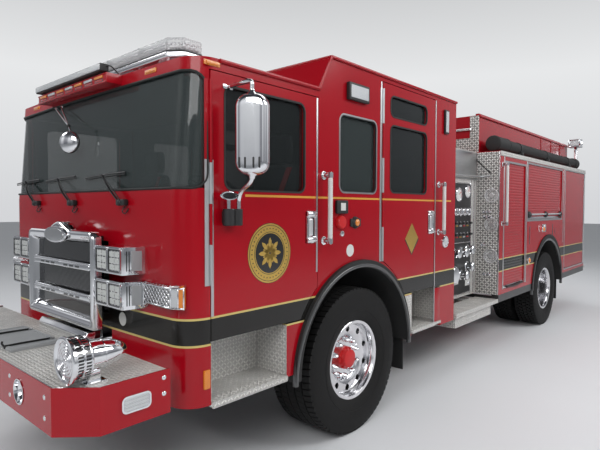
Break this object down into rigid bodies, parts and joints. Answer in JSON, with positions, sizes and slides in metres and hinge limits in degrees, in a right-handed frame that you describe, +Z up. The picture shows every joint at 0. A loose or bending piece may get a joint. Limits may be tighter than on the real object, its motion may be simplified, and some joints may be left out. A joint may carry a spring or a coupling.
{
  "type": "fire engine",
  "caption": "Custom-cab pumper fire engine with a raised crew cab, side pump panel, compartment body, hose bed, steered front wheels and doors and lids that open.",
  "frame": {"origin": "on the ground, in the middle of the overall length and width", "axes": "+X towards the vehicle's left side, the front faces -Y, +Z up"},
  "size_m": [3.0216, 9.637, 3],
  "materials": {
    "red_paint": "gloss red coach paint",
    "chassis_black": "satin black chassis paint",
    "chrome": "polished",
    "polished_aluminium": "polished wheel and trim",
    "tread_plate": "raised-pattern bright plate",
    "panel_black": "textured black panel",
    "brushed_steel": "brushed",
    "cast_iron": "painted casting",
    "tyre": "treaded",
    "rubber": "matt",
    "black_plastic": "fine grain",
    "grey_plastic": "fine grain",
    "lamp_lens": "moulded lens",
    "seat_fabric": "woven",
    "glass": "clear, light tint",
    "white_rail": "knurled grip sleeve"
  },
  "bodies": {
    "truck": {"axles": "cast_iron", "body_module": "red_paint", "bumper_deck": "tread_plate", "cab_floor": "black_plastic", "cab_glazing": "glass", "cab_seats": "seat_fabric", "cab_shell": "red_paint", "crossview_mirror": "black_plastic", "dashboard": "black_plastic", "driveline": "cast_iron", "engine_block": "cast_iron", "frame_rails": "chassis_black", "front_bumper": "red_paint", "fuel_tank": "chassis_black", "grille": "chrome", "grille_screen": "black_plastic", "handrails": "white_rail", "headlamps": "chrome", "hose_bed": "red_paint", "leaf_springs": "chassis_black", "pump_fittings": "chrome", "pump_house": "tread_plate", "pump_panels": "panel_black", "roll_up_doors": "red_paint", "roof_lights": "lamp_lens", "rub_rails": "chassis_black", "side_steps": "tread_plate", "siren_and_horns": "chrome", "suction_hose": "rubber", "tailboard": "tread_plate", "warning_lamps": "lamp_lens", "water_tank": "grey_plastic", "wheel_fenders": "rubber", "wipers": "black_plastic"},
    "front_door_body_left": {"front_door_left": "red_paint", "front_door_glass_left": "glass", "mirror_left": "chrome"},
    "rear_door_body_left": {"rear_door_left": "red_paint", "rear_door_glass_left": "glass"},
    "knuckle_body_left": {"knuckle_left": "cast_iron"},
    "front_wheel_body_left": {"front_wheel_left": "polished_aluminium", "front_tyre_left": "tyre"},
    "rear_wheel_body_left": {"rear_wheels_left": "polished_aluminium", "rear_tyres_left": "tyre"},
    "bay_door_body_left": {"bay_door_left": "red_paint"},
    "front_door_body_right": {"front_door_right": "red_paint", "front_door_glass_right": "glass", "mirror_right": "chrome"},
    "rear_door_body_right": {"rear_door_right": "red_paint", "rear_door_glass_right": "glass"},
    "knuckle_body_right": {"knuckle_right": "cast_iron"},
    "front_wheel_body_right": {"front_wheel_right": "polished_aluminium", "front_tyre_right": "tyre"},
    "rear_wheel_body_right": {"rear_wheels_right": "polished_aluminium", "rear_tyres_right": "tyre"},
    "bay_door_body_right": {"bay_door_right": "red_paint"},
    "steering_wheel_body": {"steering_wheel": "black_plastic"},
    "tie_rod_body": {"tie_rod": "brushed_steel"},
    "bumper_hatch_body": {"bumper_hatch": "grey_plastic"}
  },
  "joints": [
    {"name": "front_door_hinge_left", "type": "hinge", "parent": "truck", "child": "front_door_body_left", "pos_m": [1.243, -4.0205, 1.5], "axis": [0, 0, -1], "range_deg": [0, 75]},
    {"name": "rear_door_hinge_left", "type": "hinge", "parent": "truck", "child": "rear_door_body_left", "pos_m": [1.243, -2.2755, 1.5], "axis": [0, 0, -1], "range_deg": [0, 80]},
    {"name": "bay_door_hinge_left", "type": "hinge", "parent": "truck", "child": "bay_door_body_left", "pos_m": [1.258, 4.4485, 1.5], "axis": [0, 0, 1], "range_deg": [0, 95]},
    {"name": "rear_wheel_spin_left", "type": "hinge", "parent": "truck", "child": "rear_wheel_body_left", "pos_m": [1.077, 2.3035, 0.5425], "axis": [1, 0, 0], "continuous": true},
    {"name": "steer_left", "type": "hinge", "parent": "truck", "child": "knuckle_body_left", "pos_m": [0.86, -2.5865, 0.562], "axis": [0, 0, 1], "range_deg": [-35, 35]},
    {"name": "front_wheel_spin_left", "type": "hinge", "parent": "knuckle_body_left", "child": "front_wheel_body_left", "pos_m": [1.022, -2.5865, 0.562], "axis": [1, 0, 0], "continuous": true},
    {"name": "front_door_hinge_right", "type": "hinge", "parent": "truck", "child": "front_door_body_right", "pos_m": [-1.243, -4.0205, 1.5], "axis": [0, 0, 1], "range_deg": [0, 75]},
    {"name": "rear_door_hinge_right", "type": "hinge", "parent": "truck", "child": "rear_door_body_right", "pos_m": [-1.243, -2.2755, 1.5], "axis": [0, 0, 1], "range_deg": [0, 80]},
    {"name": "bay_door_hinge_right", "type": "hinge", "parent": "truck", "child": "bay_door_body_right", "pos_m": [-1.258, 4.4485, 1.5], "axis": [0, 0, -1], "range_deg": [0, 95]},
    {"name": "rear_wheel_spin_right", "type": "hinge", "parent": "truck", "child": "rear_wheel_body_right", "pos_m": [-1.077, 2.3035, 0.5425], "axis": [1, 0, 0], "continuous": true},
    {"name": "steer_right", "type": "hinge", "parent": "truck", "child": "knuckle_body_right", "pos_m": [-0.86, -2.5865, 0.562], "axis": [0, 0, 1], "range_deg": [-35, 35]},
    {"name": "front_wheel_spin_right", "type": "hinge", "parent": "knuckle_body_right", "child": "front_wheel_body_right", "pos_m": [-1.022, -2.5865, 0.562], "axis": [1, 0, 0], "continuous": true},
    {"name": "tie_rod_pivot", "type": "hinge", "parent": "knuckle_body_left", "child": "tie_rod_body", "pos_m": [0.86, -2.3865, 0.48], "axis": [0, 0, 1], "range_deg": [-36, 36]},
    {"name": "steering_wheel_turn", "type": "hinge", "parent": "truck", "child": "steering_wheel_body", "pos_m": [0.83, -3.6115, 1.82], "axis": [0, 0.5736, 0.8192], "range_deg": [-500, 500]},
    {"name": "bumper_hatch_hinge", "type": "hinge", "parent": "truck", "child": "bumper_hatch_body", "pos_m": [0, -4.4285, 0.908], "axis": [-1, 0, 0], "range_deg": [0, 100]}
  ],
  "couplings": [
    {"joint": "steer_right", "follows": "steer_left", "ratio": 1},
    {"joint": "tie_rod_pivot", "follows": "steer_left", "ratio": -1},
    {"joint": "steering_wheel_turn", "follows": "steer_left", "ratio": 14}
  ]
}
